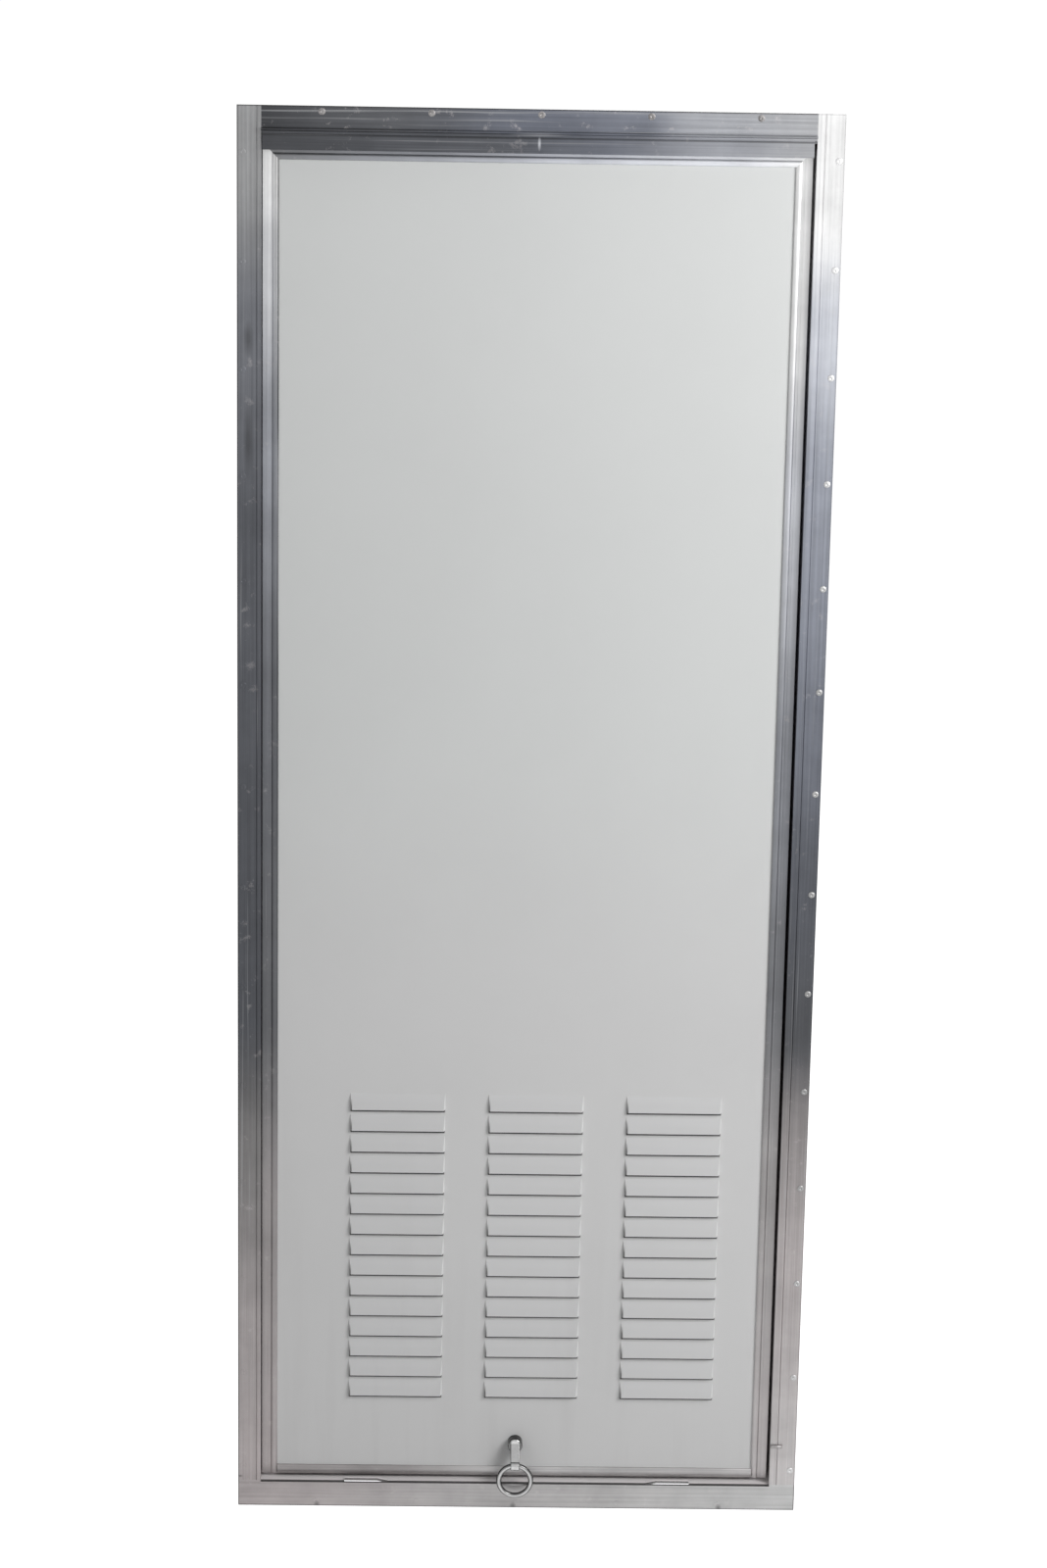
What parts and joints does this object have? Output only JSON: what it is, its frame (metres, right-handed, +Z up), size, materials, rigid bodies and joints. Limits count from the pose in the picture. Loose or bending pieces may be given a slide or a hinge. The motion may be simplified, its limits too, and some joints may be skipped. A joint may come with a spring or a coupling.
{
  "type": "top-hung louvred access door with wall frame",
  "caption": "Top-hung sheet-metal access door with pressed louvres and a ring pull, in a flanged aluminium frame that screws over a wall opening.",
  "frame": {"origin": "centre of the sill flange's back face, where the frame lies against the wall", "axes": "+Z up, +Y into the wall, +X to the right as seen from outside"},
  "size_m": [0.61, 0.0565, 1.524],
  "materials": {
    "mill_aluminium": "dull mill finish",
    "white_paint": "satin",
    "chrome_plate": "polished, worn",
    "zinc_plate": "zinc plated",
    "seal_foam": "matt foam"
  },
  "bodies": {
    "frame": {"left_jamb": "mill_aluminium", "right_jamb": "mill_aluminium", "header": "mill_aluminium", "sill": "mill_aluminium", "upper_left_corner_clip": "mill_aluminium", "upper_right_corner_clip": "mill_aluminium", "lower_left_corner_clip": "mill_aluminium", "lower_right_corner_clip": "mill_aluminium", "left_seal": "seal_foam", "right_seal": "seal_foam", "top_seal": "seal_foam", "sill_seal": "seal_foam"},
    "door": {"left_stile": "mill_aluminium", "right_stile": "mill_aluminium", "top_rail": "mill_aluminium", "bottom_rail": "mill_aluminium", "hinge_leaf": "mill_aluminium", "door_panel": "white_paint", "pull_lug": "chrome_plate", "pull_nut": "zinc_plate"},
    "ring": {"pull_ring": "chrome_plate"}
  },
  "joints": [
    {"name": "door_swing", "type": "hinge", "parent": "frame", "child": "door", "pos_m": [0, -0.004, 1.48305], "axis": [-1, 0, 0], "range_deg": [0, 100]},
    {"name": "ring_swing", "type": "hinge", "parent": "door", "child": "ring", "pos_m": [-0.0025, -0.014, 0.04005], "axis": [-1, 0, 0], "range_deg": [0, 100]}
  ]
}
